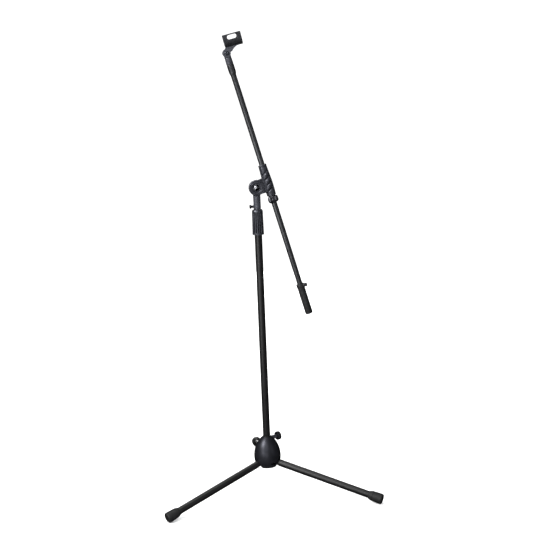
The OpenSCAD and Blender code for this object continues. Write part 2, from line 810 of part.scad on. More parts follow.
mast_tube();
leg_carrier();
leg_pins();
base_plate();
base_screw();
clutch_body();
clutch_collet();
hub_bell();
hub_bushing();
hub_knob();
hub_knob_screw();
leg_fitting(az_left);  // leg_fitting_left
leg_tube(az_left);  // leg_tube_left
foot(az_left);  // foot_left
leg_fitting(az_right);  // leg_fitting_right
leg_tube(az_right);  // leg_tube_right
foot(az_right);  // foot_right
leg_fitting(az_rear);  // leg_fitting_rear
leg_tube(az_rear);  // leg_tube_rear
foot(az_rear);  // foot_rear
clutch_grip();
inner_tube();
inner_tube_bush();
holder_post();
neck_knob();
neck_screw();
boom_grip();
friction_washer();
pivot_bolt();
boom_collet();
tilt_knob();
tilt_nut();
boom_lock_knob();
boom_tube();
boom_tip();
boom_end_cap();
counterweight();
weight_knob();
weight_screw();
clip_base();
clip_insert();
clip_screw();
clip_nut();
mic_clip();
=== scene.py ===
"""Looks of a boom microphone stand: tripod base, telescopic mast, tilting boom and microphone clip.

Places are in metres in the part's own frame. Each piece is built in millimetres along its own axis,
with its main sizes read from the CAD node that it stands for, and is then set in its place. Angles
are in degrees.
"""

import json
import math

import bmesh
import bpy
from mathutils import Matrix, Vector


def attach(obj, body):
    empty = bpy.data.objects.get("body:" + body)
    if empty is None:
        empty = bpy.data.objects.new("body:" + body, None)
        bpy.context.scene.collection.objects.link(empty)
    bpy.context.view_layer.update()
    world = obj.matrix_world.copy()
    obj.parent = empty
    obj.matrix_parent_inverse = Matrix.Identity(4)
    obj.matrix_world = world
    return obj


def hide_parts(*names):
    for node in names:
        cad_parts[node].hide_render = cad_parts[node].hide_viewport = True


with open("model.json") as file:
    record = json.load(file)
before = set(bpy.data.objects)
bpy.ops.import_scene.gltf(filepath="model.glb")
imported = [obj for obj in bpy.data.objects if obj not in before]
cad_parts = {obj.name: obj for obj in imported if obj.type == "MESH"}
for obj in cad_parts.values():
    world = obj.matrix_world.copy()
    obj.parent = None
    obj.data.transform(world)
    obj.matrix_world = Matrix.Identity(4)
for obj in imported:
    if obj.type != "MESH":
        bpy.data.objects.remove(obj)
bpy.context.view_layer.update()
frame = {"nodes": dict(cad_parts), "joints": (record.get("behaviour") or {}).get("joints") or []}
joints = {joint["name"]: joint for joint in frame["joints"]}

MM = 0.001
DOWN = (0, 0, -1)
LEG_AZIMUTHS = {"left": -150, "right": -30, "rear": 90}
LEG_SLOPE = 12.9  # how far the open legs point down
CLIP_LEAN = 2.5  # how far the clip is tipped at rest
RUNNING_GAP = 0.06  # between a sliding piece and what it slides on
SHARP_EDGE = 32  # an edge that turns by more is rounded
BROAD_FACE = 3e-6  # in square metres: a larger face takes no marks


# ---- Places ----


def place(origin, along, right):
    """A matrix whose Z runs along a direction and whose X points as nearly as it can to the right."""
    z = Vector(along).normalized()
    y = z.cross(Vector(right)).normalized()
    turn = Matrix((y.cross(z), y, z)).transposed().to_4x4()
    return Matrix.Translation(Vector(origin)) @ turn


def radial(azimuth, height=0.0):
    """The unit vector pointing out at an azimuth in degrees, with a rise or fall added."""
    angle = math.radians(azimuth)
    return Vector((math.cos(angle), math.sin(angle), height))


WORLD = Matrix.Identity(4)
boom_axis = Vector(joints["boom_slide"]["axis"]).normalized()
boom_right = Vector((boom_axis.z, 0, -boom_axis.x))
pivot = Vector(joints["boom_tilt"]["pos_m"])
boom_point = pivot + boom_right * (Vector(joints["boom_lock_turn"]["pos_m"]) - pivot).dot(boom_right)
AT_BOOM = place(boom_point, boom_axis, boom_right)
AT_DISC = place(pivot, (0, -1, 0), boom_right)
AT_TILT_KNOB = place(pivot, (0, 1, 0), (1, 0, 0))
AT_HUB_KNOB = place(joints["hub_knob_turn"]["pos_m"], joints["hub_knob_turn"]["axis"], DOWN)
AT_NECK_KNOB = place(joints["neck_knob_turn"]["pos_m"], joints["neck_knob_turn"]["axis"], DOWN)
AT_WEIGHT_SCREW = place(joints["weight_knob_turn"]["pos_m"], joints["weight_knob_turn"]["axis"], DOWN)
AT_CLIP_PIN = place(joints["clip_tilt"]["pos_m"], boom_axis, boom_right)
AT_CLIP = AT_CLIP_PIN @ Matrix.Rotation(math.radians(CLIP_LEAN), 4, "Y")
AT_CLIP_FRONT = AT_CLIP @ Matrix.Rotation(math.radians(90), 4, "X")


def at_leg(side):
    """Z runs down the leg from its hinge pin, and X points to the floor."""
    drop = -math.tan(math.radians(LEG_SLOPE))
    return place(joints[f"leg_{side}_fold"]["pos_m"], radial(LEG_AZIMUTHS[side], drop), DOWN)


def spans(node, where):
    """Lowest and highest corner of a CAD node along a place's own axes, in millimetres."""
    back = where.inverted()
    points = [back @ v.co for v in frame["nodes"][node].data.vertices]
    return [Vector(map(pick, zip(*points))) / MM for pick in (min, max)]


# ---- Shapes, in millimetres ----


def in_mm(matrix):
    """The same place for a mesh in millimetres."""
    scaled = matrix.copy()
    scaled.translation /= MM
    return scaled


def smooth(low, high, value):
    """0 below low, 1 above high and an even rise between."""
    t = min(1.0, max(0.0, (value - low) / (high - low)))
    return t * t * (3 - 2 * t)


def outline(corners, closed=False, step=None, bends=4):
    """Points of a path through (x, y, fillet) corners. Each fillet becomes a short curve, and a step
    limits how far apart the points may lie."""
    count = len(corners)
    path = []
    for i, (x, y, fillet) in enumerate(corners):
        here = Vector((x, y))
        if not fillet or (not closed and i in (0, count - 1)):
            path.append(here)
            continue
        before = Vector(corners[i - 1][:2]) - here
        after = Vector(corners[(i + 1) % count][:2]) - here
        reach = min(fillet, 0.48 * before.length, 0.48 * after.length)
        start, end = here + before.normalized() * reach, here + after.normalized() * reach
        for k in range(bends + 1):
            t = k / bends
            path.append(start * (1 - t) ** 2 + here * 2 * t * (1 - t) + end * t**2)
    if not step:
        return path
    fine = []
    ends = path[1:] + path[:1] if closed else path[1:]
    for a, b in zip(path, ends):
        parts = max(1, math.ceil((b - a).length / step))
        fine += [a.lerp(b, k / parts) for k in range(parts)]
    return fine if closed else fine + [path[-1]]


def lathe(path, closed=False, sides=96, shape=None):
    """Turns (radius, height) points round Z. Where the outline isn't round, shape(angle, radius, height)
    gives the radius."""
    mesh = bmesh.new()
    rings = []
    for radius, height in path:
        if radius < 1e-6:
            rings.append([mesh.verts.new((0, 0, height))])
            continue
        ring = []
        for i in range(sides):
            angle = math.tau * i / sides
            r = shape(angle, radius, height) if shape else radius
            ring.append(mesh.verts.new((r * math.cos(angle), r * math.sin(angle), height)))
        rings.append(ring)
    nexts = rings[1:] + rings[:1] if closed else rings[1:]
    for low, high in zip(rings, nexts):
        for i in range(sides):
            j = i + 1
            corners = (low[i % len(low)], low[j % len(low)], high[j % len(high)], high[i % len(high)])
            mesh.faces.new(list(dict.fromkeys(corners)))
    bmesh.ops.recalc_face_normals(mesh, faces=mesh.faces)
    return mesh


def ring(r_out, r_in, low, high, fillet=0.4, sides=96):
    """A plain turned ring with rounded edges."""
    corners = [(r_in, low, fillet), (r_out, low, fillet), (r_out, high, fillet), (r_in, high, fillet)]
    return lathe(outline(corners, closed=True), closed=True, sides=sides)


def prism(points, low, high):
    """A flat outline drawn in X and Y and carried from one height to another."""
    mesh = bmesh.new()
    faces = [mesh.faces.new([mesh.verts.new((p[0], p[1], z)) for p in points]) for z in (low, high)]
    count = len(points)
    ends = [face.verts[:] for face in faces]
    for i in range(count):
        j = (i + 1) % count
        mesh.faces.new((ends[0][i], ends[0][j], ends[1][j], ends[1][i]))
    bmesh.ops.recalc_face_normals(mesh, faces=mesh.faces)
    return mesh


def block(low, high):
    """A box between two corners."""
    corners = [(low[0], low[1]), (high[0], low[1]), (high[0], high[1]), (low[0], high[1])]
    return prism(corners, low[2], high[2])


def arc(centre, radius, start, end, steps=32):
    """Points on a circle from one angle to another, in degrees."""
    angles = [math.radians(start + (end - start) * i / steps) for i in range(steps + 1)]
    return [Vector((centre[0] + radius * math.cos(a), centre[1] + radius * math.sin(a))) for a in angles]


def circle(radius, sides, centre=(0, 0)):
    return arc(centre, radius, 0, 360, sides)[:-1]


def stadium(radius, half, steps, centre=(0, 0)):
    """A window with round ends, whose centres lie half to each side of its middle."""
    x, y = centre
    return arc((x + half, y), radius, -90, 90, steps) + arc((x - half, y), radius, 90, 270, steps)


def moved(mesh, matrix):
    mesh.transform(matrix)
    return mesh


def turned(mesh, degrees, axis):
    return moved(mesh, Matrix.Rotation(math.radians(degrees), 4, axis))


def shifted(mesh, x=0, y=0, z=0):
    return moved(mesh, Matrix.Translation((x, y, z)))


def as_object(mesh, name="scratch"):
    data = bpy.data.meshes.new(name)
    mesh.to_mesh(data)
    mesh.free()
    obj = bpy.data.objects.new(name, data)
    bpy.context.scene.collection.objects.link(obj)
    return obj


def applied(obj):
    """The mesh of an object with its modifiers done. The object is removed."""
    graph = bpy.context.evaluated_depsgraph_get()
    data = bpy.data.meshes.new_from_object(obj.evaluated_get(graph))
    mesh = bmesh.new()
    mesh.from_mesh(data)
    bpy.data.meshes.remove(data)
    bpy.data.objects.remove(obj)
    return mesh


def combined(mesh, others, operation):
    """Joins other solids to a mesh (UNION) or takes them away (DIFFERENCE)."""
    for other in others:
        base, tool = as_object(mesh), as_object(other)
        step = base.modifiers.new("combine", "BOOLEAN")
        step.operation, step.object, step.solver = operation, tool, "EXACT"
        mesh = applied(base)
        bpy.data.objects.remove(tool)
    bmesh.ops.remove_doubles(mesh, verts=mesh.verts, dist=0.002)
    bmesh.ops.dissolve_degenerate(mesh, edges=mesh.edges, dist=0.002)
    return mesh


def softened(mesh, width):
    """Rounds every sharp edge, as a moulding's edges are."""
    obj = as_object(mesh)
    bevel = obj.modifiers.new("round", "BEVEL")
    bevel.width, bevel.segments = width, 3
    bevel.limit_method, bevel.angle_limit = "ANGLE", math.radians(SHARP_EDGE)
    bevel.miter_outer = "MITER_ARC"
    return applied(obj)


def mark_edges(obj):
    """Stores in each vertex whether it stands on a rounded edge, where a finish is rubbed, or down in a
    groove or crease, where shade is painted in as darker colour and duller gloss. A point on a broad face is
    left out, so that the marks stay narrow."""
    mesh = bmesh.new()
    mesh.from_mesh(obj.data)
    edges, grooves = [], []
    for v in mesh.verts:
        angles = [e.calc_face_angle_signed(0.0) for e in v.link_edges]
        narrow = max((f.calc_area() for f in v.link_faces), default=0.0) <= BROAD_FACE
        rise, fall = max(angles, default=0.0), -min(angles, default=0.0)
        edges.append(smooth(math.radians(9), math.radians(26), rise) if narrow else 0.0)
        # Painted shade: a vertex down in a groove or crease is marked, so that the finish darkens it and dims
        # its gloss.
        grooves.append(smooth(math.radians(5), math.radians(18), fall) if narrow else 0.0)
    mesh.free()
    for name, values in (("wear", edges), ("groove", grooves)):
        mark = obj.data.attributes.new(name, "FLOAT", "POINT")
        mark.data.foreach_set("value", values)


def piece(name, mesh, where, body, slot, nodes, look=None):
    """Makes a shown piece of a mesh in millimetres: it rides on a body and stands for CAD nodes. Its
    finish is its slot's, or a variant of it, named as its look."""
    obj = as_object(moved(mesh, Matrix.Scale(MM, 4)), name)
    obj.data.shade_smooth()
    weighted = obj.modifiers.new("shading", "WEIGHTED_NORMAL")
    weighted.weight, weighted.keep_sharp = 95, True
    mark_edges(obj)
    obj.data.materials.append(finishes[look or slot])
    obj.matrix_world = where
    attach(obj, body)
    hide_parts(*nodes)
    return obj


# ---- Finishes ----


def link(tree, source, target):
    tree.links.new(source, target)


def node(tree, kind, **inputs):
    """A shader node with its inputs set by name."""
    made = tree.nodes.new("ShaderNode" + kind)
    for name, value in inputs.items():
        made.inputs[name.replace("_", " ")].default_value = value
    return made


def noise(tree, coordinates, scale, detail=4.0, roughness=0.55):
    made = node(tree, "TexNoise", Scale=scale, Detail=detail, Roughness=roughness)
    link(tree, coordinates, made.inputs["Vector"])
    return made.outputs["Fac"]


def spread(tree, value, low, high, to_low, to_high):
    """A value's stretch from low to high carried to another stretch, smoothly."""
    made = tree.nodes.new("ShaderNodeMapRange")
    made.interpolation_type = "SMOOTHSTEP"
    for name, number in (("From Min", low), ("From Max", high), ("To Min", to_low), ("To Max", to_high)):
        made.inputs[name].default_value = number
    link(tree, value, made.inputs["Value"])
    return made.outputs["Result"]


def blend(tree, factor, first, second):
    """A colour between two, each a socket or an RGB triple."""
    made = tree.nodes.new("ShaderNodeMix")
    made.data_type = "RGBA"
    link(tree, factor, made.inputs["Factor"])
    for socket, colour in ((made.inputs[6], first), (made.inputs[7], second)):
        if isinstance(colour, tuple):
            socket.default_value = (*colour, 1)
        else:
            link(tree, colour, socket)
    return made.outputs[2]


def times(tree, first, second):
    made = tree.nodes.new("ShaderNodeMath")
    made.operation = "MULTIPLY"
    link(tree, first, made.inputs[0])
    link(tree, second, made.inputs[1])
    return made.outputs[0]


def grain_height(tree, coordinates, kind, scale):
    """The fine relief of a surface: orange peel, moulded pits or turning lines."""
    if kind == "pits":
        cells = node(tree, "TexVoronoi", Scale=scale, Randomness=1.0)
        link(tree, coordinates, cells.inputs["Vector"])
        pits = spread(tree, cells.outputs["Distance"], 0.0, 0.7, 0.0, 1.0)
        return times(tree, pits, noise(tree, coordinates, scale * 0.6, 3.0))
    if kind == "turned":
        lines = node(tree, "TexNoise", Scale=scale, Detail=2.0, Roughness=0.5)
        squeeze = node(tree, "Mapping")
        squeeze.inputs["Scale"].default_value = (0.08, 0.08, 1.0)
        link(tree, coordinates, squeeze.inputs["Vector"])
        link(tree, squeeze.outputs["Vector"], lines.inputs["Vector"])
        return lines.outputs["Fac"]
    return noise(tree, coordinates, scale, 3.0, 0.5)


PAINTED_SHADE_SHARE = 0.25  # painted shade: a groove's or crease's colour as a share of the dark one
PAINTED_SHADE_GLOSS = 0.12  # and the painted shade's dimming of its gloss, as a share of the finish's


def finish(name, dark, light, rough, kind, scale, relief, patch, metallic=0.0, specular=0.5,
           worn=None, wear_from=0.45, dust=None, tint=(1, 1, 1)):
    """A procedural material. Patches drift between two colours and a finer noise varies the roughness.
    The grain is as high as relief, in metres. Edges marked as wear turn to the worn colour where a noise lets
    them, dust settles in patches, and shade is painted into marked grooves and creases, which are darker and
    duller."""
    material = bpy.data.materials.new(name)
    material.use_nodes = True
    material.diffuse_color = (*light, 1)
    tree = material.node_tree
    shader = tree.nodes["Principled BSDF"]
    shader.inputs["Metallic"].default_value = metallic
    shader.inputs["Specular Tint"].default_value = (*tint, 1)
    coordinates = tree.nodes.new("ShaderNodeTexCoord").outputs["Object"]
    drift = spread(tree, noise(tree, coordinates, patch), 0.36, 0.64, 0.0, 1.0)
    colour = blend(tree, drift, dark, light)
    fine = noise(tree, coordinates, patch * 14, 5.0, 0.7)
    roughness = spread(tree, fine, 0.3, 0.7, *rough)
    if dust:
        settle = spread(tree, noise(tree, coordinates, patch * 3, 6.0, 0.65), 0.52, 0.72, 0.0, 0.5)
        colour = blend(tree, settle, colour, dust)
    if worn:
        rub = tree.nodes.new("ShaderNodeAttribute")
        rub.attribute_name = "wear"
        uneven = noise(tree, coordinates, patch * 5, 6.0, 0.7)
        uneven = spread(tree, uneven, wear_from, wear_from + 0.22, 0.15, 1.0)
        colour = blend(tree, times(tree, rub.outputs["Fac"], uneven), colour, worn)
    # Painted shade in grooves and creases: where the groove mark lies, the colour goes towards black and the
    # gloss is dimmed.
    sunk = tree.nodes.new("ShaderNodeAttribute")
    sunk.attribute_name = "groove"
    colour = blend(tree, sunk.outputs["Fac"], colour, tuple(PAINTED_SHADE_SHARE * part for part in dark))
    gloss = spread(tree, sunk.outputs["Fac"], 0.0, 1.0, specular, PAINTED_SHADE_GLOSS * specular)
    link(tree, gloss, shader.inputs["Specular IOR Level"])
    link(tree, colour, shader.inputs["Base Color"])
    link(tree, roughness, shader.inputs["Roughness"])
    bump = node(tree, "Bump", Strength=0.6, Distance=relief)
    link(tree, grain_height(tree, coordinates, kind, scale), bump.inputs["Height"])
    link(tree, bump.outputs["Normal"], shader.inputs["Normal"])
    return material


RECIPES = {
    "tube_paint": dict(
        dark=(0.0034, 0.0034, 0.0036), light=(0.0048, 0.0048, 0.0051), rough=(0.32, 0.40),
        kind="peel", scale=1500, relief=0.00004, patch=45, specular=0.42, worn=(0.03, 0.03, 0.031)),
    # The boom's copy of the tube paint: its lighter colour is a painted sheen for the highlight along the
    # boom, and it is glossier.
    "boom_paint_painted_sheen": dict(
        dark=(0.0050, 0.0052, 0.0058), light=(0.0072, 0.0075, 0.0084), rough=(0.30, 0.38),
        kind="peel", scale=1500, relief=0.00004, patch=45, specular=0.95, worn=(0.03, 0.03, 0.031),
        tint=(0.94, 0.96, 1.0)),
    "weight_paint": dict(
        dark=(0.0032, 0.0032, 0.0036), light=(0.0088, 0.0090, 0.0098), rough=(0.42, 0.54),
        kind="pits", scale=700, relief=0.00014, patch=160, specular=0.46, worn=(0.03, 0.03, 0.032)),
    "black_nylon": dict(
        dark=(0.005, 0.005, 0.0055), light=(0.008, 0.008, 0.009), rough=(0.5, 0.6),
        kind="pits", scale=1400, relief=0.00006, patch=80, specular=0.4),
    "hub_plastic": dict(
        dark=(0.0040, 0.0042, 0.0054), light=(0.0058, 0.0061, 0.0076), rough=(0.34, 0.42),
        kind="pits", scale=1300, relief=0.00005, patch=70, specular=0.5, worn=(0.02, 0.021, 0.025),
        tint=(0.84, 0.86, 1.0)),
    "bearing_plastic": dict(
        dark=(0.0035, 0.0034, 0.0042), light=(0.0055, 0.0054, 0.0065), rough=(0.4, 0.5),
        kind="peel", scale=1200, relief=0.00005, patch=90, specular=0.4),
    "knob_plastic": dict(
        dark=(0.0040, 0.0040, 0.0050), light=(0.0066, 0.0068, 0.0082), rough=(0.26, 0.36),
        kind="peel", scale=900, relief=0.00003, patch=90, specular=0.38, worn=(0.02, 0.021, 0.024),
        wear_from=0.5, tint=(0.88, 0.9, 1.0)),
    "glossy_knob": dict(
        dark=(0.0050, 0.0050, 0.0064), light=(0.0080, 0.0082, 0.0100), rough=(0.18, 0.24),
        kind="peel", scale=700, relief=0.00002, patch=90, specular=1.0, worn=(0.02, 0.021, 0.024),
        wear_from=0.5, tint=(0.9, 0.91, 1.0)),
    "grip_plastic": dict(
        dark=(0.0080, 0.0085, 0.0108), light=(0.0115, 0.0122, 0.0154), rough=(0.30, 0.40),
        kind="pits", scale=1500, relief=0.00006, patch=75, specular=0.72, worn=(0.035, 0.037, 0.045),
        tint=(0.86, 0.88, 1.0)),
    "pale_plastic": dict(
        dark=(0.0150, 0.0158, 0.0195), light=(0.0220, 0.0230, 0.0285), rough=(0.32, 0.42),
        kind="pits", scale=1500, relief=0.00006, patch=75, specular=0.85, worn=(0.05, 0.052, 0.06),
        tint=(0.88, 0.9, 1.0)),
    "clip_plastic": dict(
        dark=(0.0055, 0.0057, 0.0066), light=(0.0080, 0.0083, 0.0096), rough=(0.40, 0.50),
        kind="pits", scale=1500, relief=0.00006, patch=75, specular=0.5, worn=(0.04, 0.042, 0.048),
        tint=(0.9, 0.92, 1.0)),
    "rubber": dict(
        dark=(0.0045, 0.0045, 0.0048), light=(0.0070, 0.0070, 0.0074), rough=(0.52, 0.68),
        kind="pits", scale=2000, relief=0.00008, patch=110, specular=0.32, worn=(0.022, 0.022, 0.022),
        dust=(0.018, 0.0175, 0.017)),
    "dark_steel": dict(
        dark=(0.050, 0.053, 0.062), light=(0.075, 0.079, 0.090), rough=(0.30, 0.42),
        kind="turned", scale=2400, relief=0.00003, patch=220, metallic=1.0, worn=(0.12, 0.125, 0.14)),
    "zinc_steel": dict(
        dark=(0.42, 0.43, 0.45), light=(0.56, 0.57, 0.58), rough=(0.28, 0.4),
        kind="turned", scale=2600, relief=0.00003, patch=220, metallic=1.0, worn=(0.75, 0.75, 0.76)),
    "chrome_bolt": dict(
        dark=(0.20, 0.205, 0.22), light=(0.30, 0.305, 0.32), rough=(0.12, 0.18),
        kind="turned", scale=2200, relief=0.00003, patch=260, metallic=1.0, worn=(0.7, 0.7, 0.71)),
    "brass": dict(
        dark=(0.52, 0.36, 0.13), light=(0.66, 0.48, 0.2), rough=(0.26, 0.4),
        kind="turned", scale=2400, relief=0.00003, patch=240, metallic=1.0, worn=(0.8, 0.66, 0.36)),
}
finishes = {name: finish(name, **recipe) for name, recipe in RECIPES.items()}


def refinish_frame():
    """Gives each CAD node that stays in view the finish of its own slot, and the boom the tube paint made
    lighter, a painted sheen.
    """
    for obj in frame["nodes"].values():
        for holder in obj.material_slots:
            slot = holder.material.name.split(".")[0]
            if slot in finishes:
                holder.material = finishes[slot]
    for holder in frame["nodes"]["boom_tube"].material_slots:
        holder.material = finishes["boom_paint_painted_sheen"]


# ---- Knobs ----


def scallop(angle, count, sharpness):
    """1 at each of a number of even notches round a turn and 0 between them."""
    return (0.5 + 0.5 * math.cos(angle * count)) ** sharpness


def notched_knob(radius, base, top, count, depth, bore, dish):
    """A thumb screw's head: a notched rim, rounded edges and a dished face."""
    face_r, dish_r, floor = 0.86 * radius, 0.56 * radius, top - dish
    sides = 10 * count
    corners = [
        (bore, base, 0), (face_r, base, 0.8), (radius, base + 0.16 * radius, 0.8),
        (radius, top - 0.14 * radius, 1.0), (face_r, top, 1.0), (0.62 * radius, top, 0.6),
        (dish_r, floor, 0.6), (0, floor, 0),
    ]
    underside = [Vector((0, floor - 1)), Vector((bore, floor - 1)), Vector((bore, base))]

    def notch(angle, r, _):
        return r - depth * scallop(angle, count, 2.5) * smooth(0.7 * radius, 0.97 * radius, r)

    head = lathe(outline(corners, step=1.2), sides=sides, shape=notch)
    return joined([head, lathe(underside, sides=sides)])


def joined(meshes):
    """Several shells in one mesh, with the points where they meet made one."""
    whole = bmesh.new()
    for mesh in meshes:
        data = bpy.data.meshes.new("part")
        mesh.to_mesh(data)
        mesh.free()
        whole.from_mesh(data)
        bpy.data.meshes.remove(data)
    bmesh.ops.remove_doubles(whole, verts=whole.verts, dist=0.001)
    bmesh.ops.recalc_face_normals(whole, faces=whole.faces)
    return whole


# ---- Base ----

BELL_WIDE = 16.4  # height of the widest ring above the leg pins
BELL_DROP = 51.0  # half height of the ellipse below that ring
BELL_RISE = 68.0  # height at which the dome above it would close
BELL_WALL = 2.6
BELL_POWER = 0.66  # 0.5 would make that dome an ellipse, more is slimmer
LINE_UP = 5.0  # the line round the bell, above its lower edge
LINE_DEPTH = 0.7
BELL_ROWS = 56
LEG_SLOT_R = 11.2
LEG_SLOT_BACK = 6  # how far behind the pin a leg's slot begins
LEG_SLOT_REACH = 40
WINDOW_AZIMUTH = -70
WINDOW_RISE = 0.8  # above the leg pins
WINDOW_R = 3.6
WINDOW_HALF = 3.4  # from the middle to the centres of the round ends
WINDOW_DEPTH = 5.0
HUB_SCREW_R = 4.1  # bore of the knob, its neck and the boss
BOSS_R = 6.6
BOSS_START = 18  # along the knob's axis, inside the bell's wall
HUB_HEAD = 12  # length of the knob's head


def make_bell():
    """The hub's moulded bell: a dome with a line round its rim, slots for the legs and a small window
    in front. The boss for its knob is a piece of its own."""
    low, high = spans("hub_bell", WORLD)
    r_max = -low.x
    pin_z = joints["leg_left_fold"]["pos_m"][2] / MM
    wide = pin_z + BELL_WIDE

    def dome(z):
        if z < wide:
            return r_max * math.sqrt(1 - ((wide - z) / BELL_DROP) ** 2)
        return r_max * (1 - min(1.0, (z - wide) / BELL_RISE) ** 2) ** BELL_POWER

    outside = []
    for i in range(BELL_ROWS + 1):
        z = low.z + (high.z - low.z) * i / BELL_ROWS
        line = LINE_DEPTH * (1 - smooth(0.5, 1.3, abs(z - low.z - LINE_UP)))
        outside.append((dome(z) - line, z, 0))
    roof = wide + 0.75 * BELL_RISE
    steps = 24
    heights = [roof - (roof - low.z) * i / steps for i in range(steps + 1)]
    inside = [(dome(z) - BELL_WALL, z, 0) for z in heights]
    bore = spans("hub_bushing", WORLD)[1].x - 0.5
    corners = outside + [(bore, high.z, 0), (bore, roof, 0)] + inside
    bell = lathe(outline(corners, closed=True), closed=True, sides=144)
    cutters = []
    mouth = [(LEG_SLOT_REACH, LEG_SLOT_R), (LEG_SLOT_REACH, -LEG_SLOT_R)]
    for side in LEG_AZIMUTHS:
        slot = prism(arc((0, 0), LEG_SLOT_R, 270, 90) + mouth, -LEG_SLOT_BACK, LEG_SLOT_REACH)
        cutters.append(moved(slot, in_mm(at_leg(side))))
    window = turned(prism(stadium(WINDOW_R, WINDOW_HALF, 12), 0, 2 * WINDOW_DEPTH), 90, "Y")
    window = turned(turned(window, 90, "X"), WINDOW_AZIMUTH, "Z")
    out = radial(WINDOW_AZIMUTH) * (dome(pin_z + WINDOW_RISE) - WINDOW_DEPTH)
    cutters.append(shifted(window, out.x, out.y, pin_z + WINDOW_RISE))
    bell = softened(combined(bell, cutters, "DIFFERENCE"), 0.6)
    piece("hub_bell", bell, WORLD, "hub", "hub_plastic", ["hub_bell"])
    boss_end = spans("hub_knob", AT_HUB_KNOB)[0].z - 0.3
    corners = [(HUB_SCREW_R, BOSS_START, 0), (BOSS_R, BOSS_START, 0), (BOSS_R - 0.1, boss_end, 0.6),
               (HUB_SCREW_R, boss_end, 0.3)]
    boss = lathe(outline(corners, closed=True), closed=True, sides=64)
    piece("hub_boss", boss, AT_HUB_KNOB, "hub", "hub_plastic", ["hub_bell"], "pale_plastic")


def make_bushing():
    """The lipped bushing that the bell slides up the mast on."""
    low, high = spans("hub_bushing", WORLD)
    bore = spans("mast_tube", WORLD)[1].x + RUNNING_GAP
    body_r, lip = high.x - 0.5, high.z - 2.2
    corners = [(bore, low.z, 0.2), (body_r, low.z, 0.3), (body_r, lip, 0), (high.x, lip, 0.3),
               (high.x, high.z - 0.5, 0.5), (bore + 0.6, high.z, 0.5), (bore, high.z - 0.6, 0.3)]
    bushing = lathe(outline(corners, closed=True), closed=True)
    piece("hub_bushing", bushing, WORLD, "hub", "bearing_plastic", ["hub_bushing"])


def make_hub_knob():
    """The ribbed knob that clamps the bell to the mast, and its neck, a piece of its own."""
    low, high = spans("hub_knob", AT_HUB_KNOB)
    head = high.z - HUB_HEAD
    knob = notched_knob(high.x, head, high.z, count=18, depth=1.5, bore=HUB_SCREW_R, dish=0.9)
    piece("hub_knob", knob, AT_HUB_KNOB, "hub_clamp", "knob_plastic", ["hub_knob"])
    neck_r, rib_r, rib_tall = 5.4, 5.8, 2.2
    neck = ring(neck_r, HUB_SCREW_R, low.z, head + 0.4, sides=64)
    rib = shifted(ring(rib_r, HUB_SCREW_R + 0.5, 0, rib_tall, sides=64), z=head - 2)
    piece("hub_knob_neck", joined([neck, rib]), AT_HUB_KNOB, "hub_clamp", "knob_plastic",
          ["hub_knob"], "pale_plastic")


FOOT_FLAT = 0.02  # what lies lower than this over the floor is pressed flat
FOOT_SQUASH = 0.02  # to this share of its height


def make_foot(side):
    """A rubber foot: a lipped mouth, two moulded rings, a rounded end and a flat where it bears."""
    where = at_leg(side)
    low, high = spans(f"foot_{side}", where)
    tube_r = spans(f"leg_tube_{side}", where)[1].y
    r = high.y
    start, end = low.z, high.z
    corners = [
        (tube_r, start, 0), (tube_r + 1.5, start, 0.5), (tube_r + 1.9, start + 2.2, 0.6),
        (r - 1.0, start + 8, 3), (r - 0.75, start + 11, 0.5), (r - 1.15, start + 11.8, 0.4),
        (r - 0.65, start + 12.6, 0.5), (r - 0.1, end - 13, 3), (r, end - 5, 2.5),
        (r - 0.9, end - 1.4, 1.6), (r - 3.4, end, 1.6), (r - 6.5, end, 0.5), (r - 7.2, end - 0.6, 0.5),
        (0, end - 0.6, 0),
    ]
    inside = [Vector((0, end - 4)), Vector((tube_r, end - 4)), Vector((tube_r, start))]
    foot = joined([lathe(outline(corners, step=2.5), sides=96), lathe(inside, sides=96)])
    to_frame, back = in_mm(where), in_mm(where).inverted()
    for v in foot.verts:
        point = to_frame @ v.co
        if point.z < FOOT_FLAT:
            point.z *= FOOT_SQUASH
            v.co = back @ point
    piece(f"foot_{side}", foot, where, f"leg_{side}", "rubber", [f"foot_{side}"])


# ---- Mast clutch and post ----

FLUTES = 16
FLUTE_R = 1.7
FLUTE_AT = 16.6  # distance of a flute's centre from the axis
GRIP_WALL_R = 14  # flutes leave everything inside this radius alone
DISC_R = 23.0
POST_R = 10.7
POST_BORE = 9.56
POST_GAP = 1.2  # between the post's round part and the disc above it
EAR_R = 19.5
DISH_R = 13.5
BOLT_HOLE = 4.06
SMALL_SCREW_R = 2.5


def make_clutch_grip():
    """The fluted clutch grip: a smooth rim below, flutes that fade out and a turned-in shoulder."""
    low, high = spans("clutch_grip", WORLD)
    rim, length = high.x, high.z - low.z
    bore_low, bore_high = 13.3, 9.9
    corners = [
        (bore_low, 0, 0.3), (rim, 0, 0.7), (rim, 3.5, 0.5), (rim - 0.5, 4.1, 0.3), (rim - 0.25, 4.9, 0.3),
        (rim - 1.2, length - 5.5, 1.2), (rim - 1.6, length - 4.2, 0.6), (rim - 2.6, length - 1.6, 1.2),
        (rim - 5.2, length, 1.3), (bore_high, length, 0.4), (bore_high, length - 8, 0),
        (bore_low, length - 14, 0),
    ]

    def flute(angle, r, z):
        pitch = math.tau / FLUTES
        off = (angle + pitch / 2) % pitch - pitch / 2
        side = FLUTE_AT * math.sin(off)
        if r < GRIP_WALL_R or abs(side) >= FLUTE_R:
            return r
        floor = FLUTE_AT * math.cos(off) - math.sqrt(FLUTE_R**2 - side**2)
        ends = smooth(5.2, 7.5, z) * (1 - smooth(length - 10.5, length - 7.0, z))
        return r - max(0.0, r - floor) * ends

    grip = lathe(outline(corners, closed=True, step=1.4), closed=True, sides=FLUTES * 14, shape=flute)
    piece("clutch_grip", shifted(grip, z=low.z), WORLD, "clutch", "grip_plastic", ["clutch_grip"])


